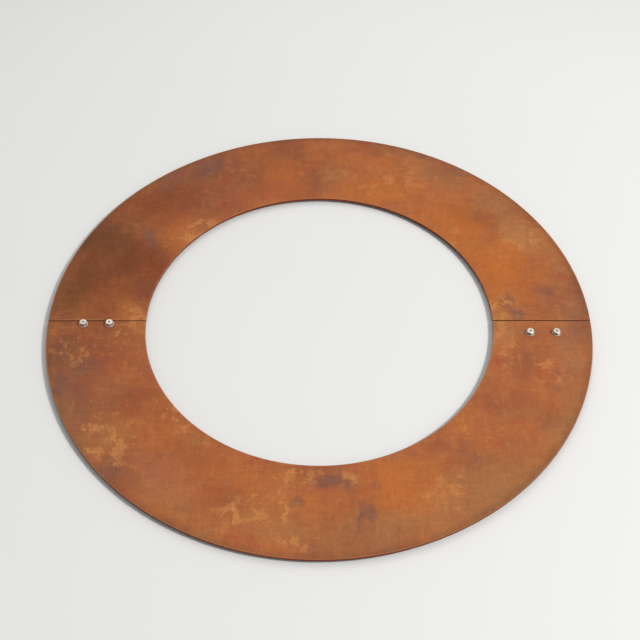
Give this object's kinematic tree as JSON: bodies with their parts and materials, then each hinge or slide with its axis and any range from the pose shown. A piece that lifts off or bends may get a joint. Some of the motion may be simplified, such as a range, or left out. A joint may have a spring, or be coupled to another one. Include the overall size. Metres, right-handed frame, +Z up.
{
  "type": "tree ring edging",
  "caption": "Flat weathering-steel ring in halves, joined by screws into plates below, that edges the planting hole round a tree.",
  "frame": {"origin": "centre of the ring, on the plane of the joint plates' undersides, on which the ring stands", "axes": "+X along the seam to the right, +Y from the front half to the back half, +Z up"},
  "size_m": [1, 0.9998, 0.0179],
  "materials": {
    "weathering_steel": "matt rust patina",
    "joint_plate_steel": "dark rust and mill scale",
    "stainless_steel": "satin stainless",
    "weld_metal": "rusted weld"
  },
  "bodies": {
    "root": {"back_half_ring": "weathering_steel", "front_half_ring": "weathering_steel", "left_joint_plate": "joint_plate_steel", "right_joint_plate": "joint_plate_steel", "left_outer_screw": "stainless_steel", "left_inner_screw": "stainless_steel", "right_inner_screw": "stainless_steel", "right_outer_screw": "stainless_steel", "left_outer_washer": "stainless_steel", "left_inner_washer": "stainless_steel", "right_inner_washer": "stainless_steel", "right_outer_washer": "stainless_steel", "left_outer_end_weld": "weld_metal", "left_inner_end_weld": "weld_metal", "left_back_outer_weld": "weld_metal", "left_back_inner_weld": "weld_metal", "right_outer_end_weld": "weld_metal", "right_inner_end_weld": "weld_metal", "right_back_outer_weld": "weld_metal", "right_back_inner_weld": "weld_metal"}
  },
  "joints": []
}
